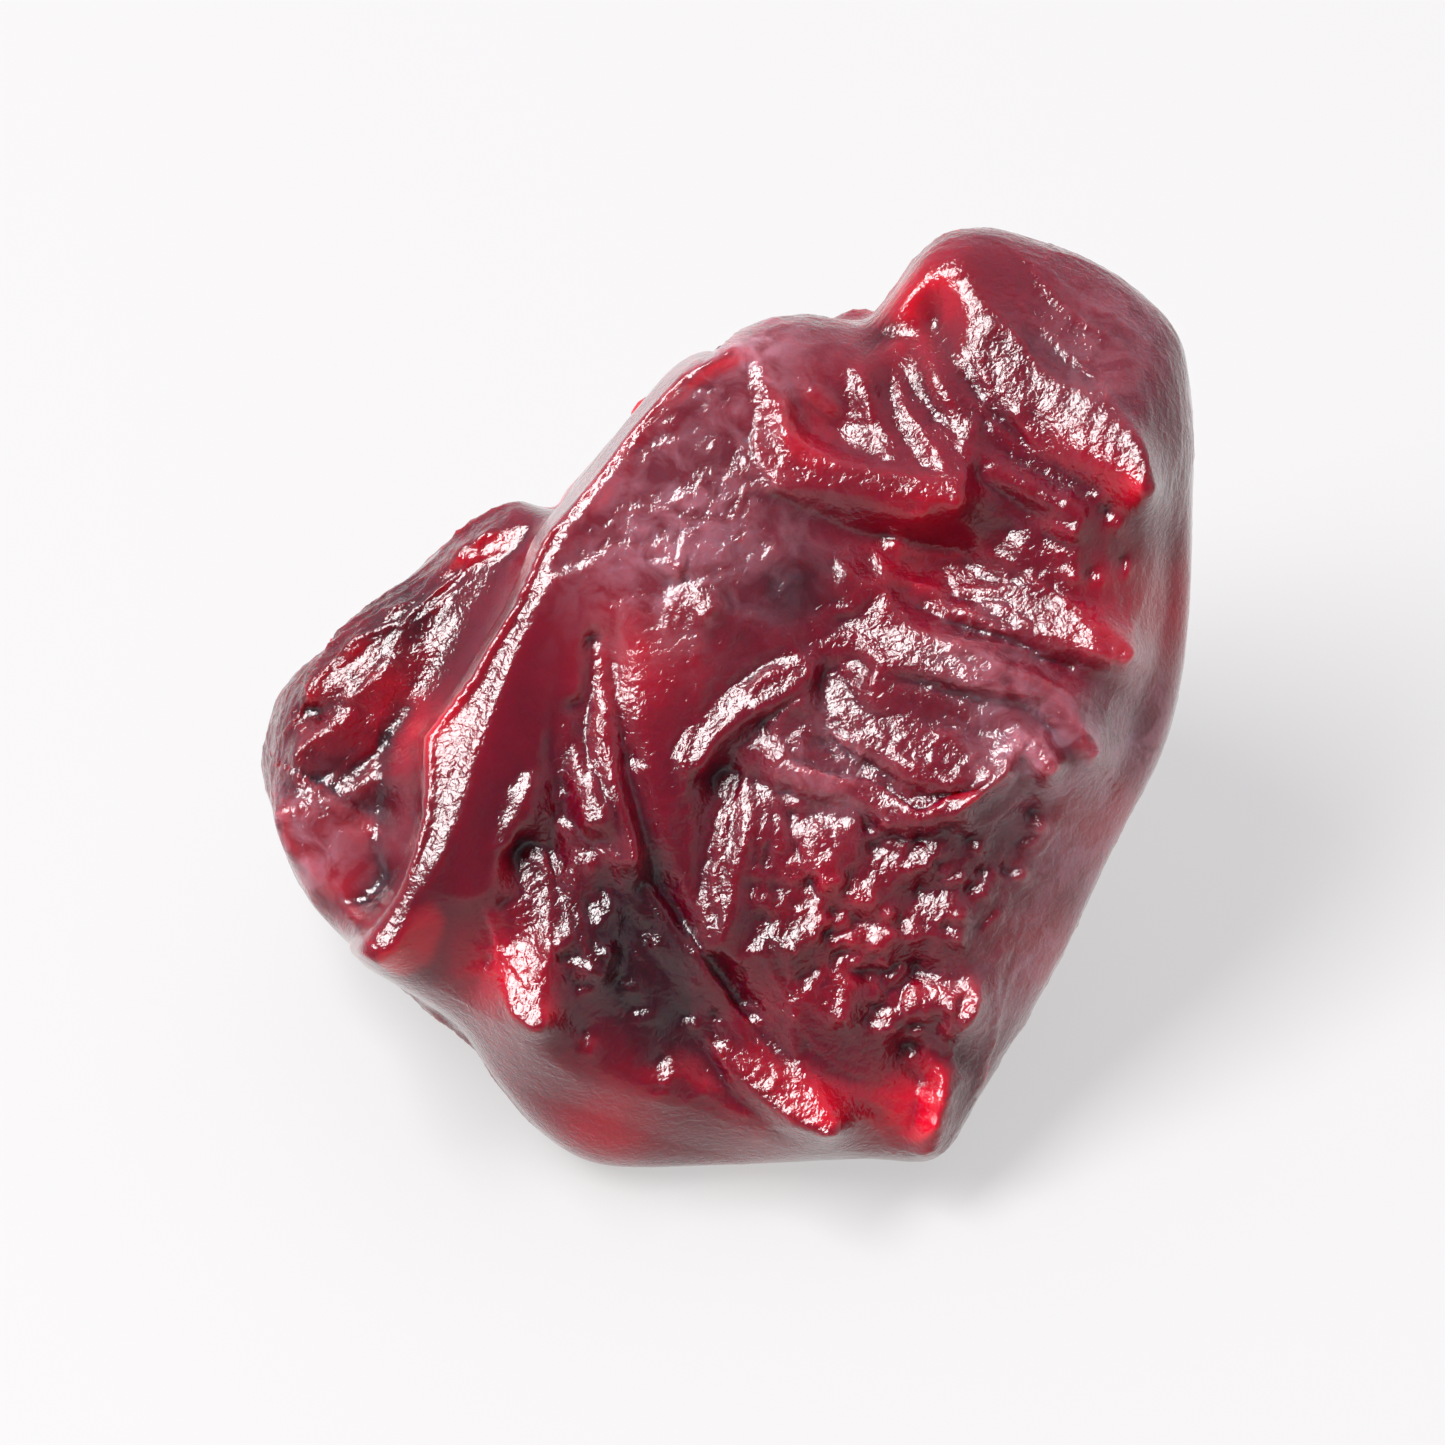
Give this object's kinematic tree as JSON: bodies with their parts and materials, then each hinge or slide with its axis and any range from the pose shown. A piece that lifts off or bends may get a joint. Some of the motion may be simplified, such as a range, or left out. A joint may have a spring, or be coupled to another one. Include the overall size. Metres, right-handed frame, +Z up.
{
  "type": "dried cranberry",
  "caption": "Wrinkled, deep red dried berry with a pinched rim, a folded face and a puckered back, lying on its flattened underside.",
  "frame": {"origin": "middle of the bounding box, on the surface that the berry rests on", "axes": "+Z up, +X to the right of the berry as its wrinkled face is looked at, -Y towards the viewer; the face is tipped back by 45 degrees"},
  "size_m": [0.0146, 0.0126, 0.0113],
  "materials": {
    "cranberry_skin": "moist, glossy, translucent dried fruit skin"
  },
  "bodies": {
    "root": {"dried_cranberry": "cranberry_skin"}
  },
  "joints": []
}
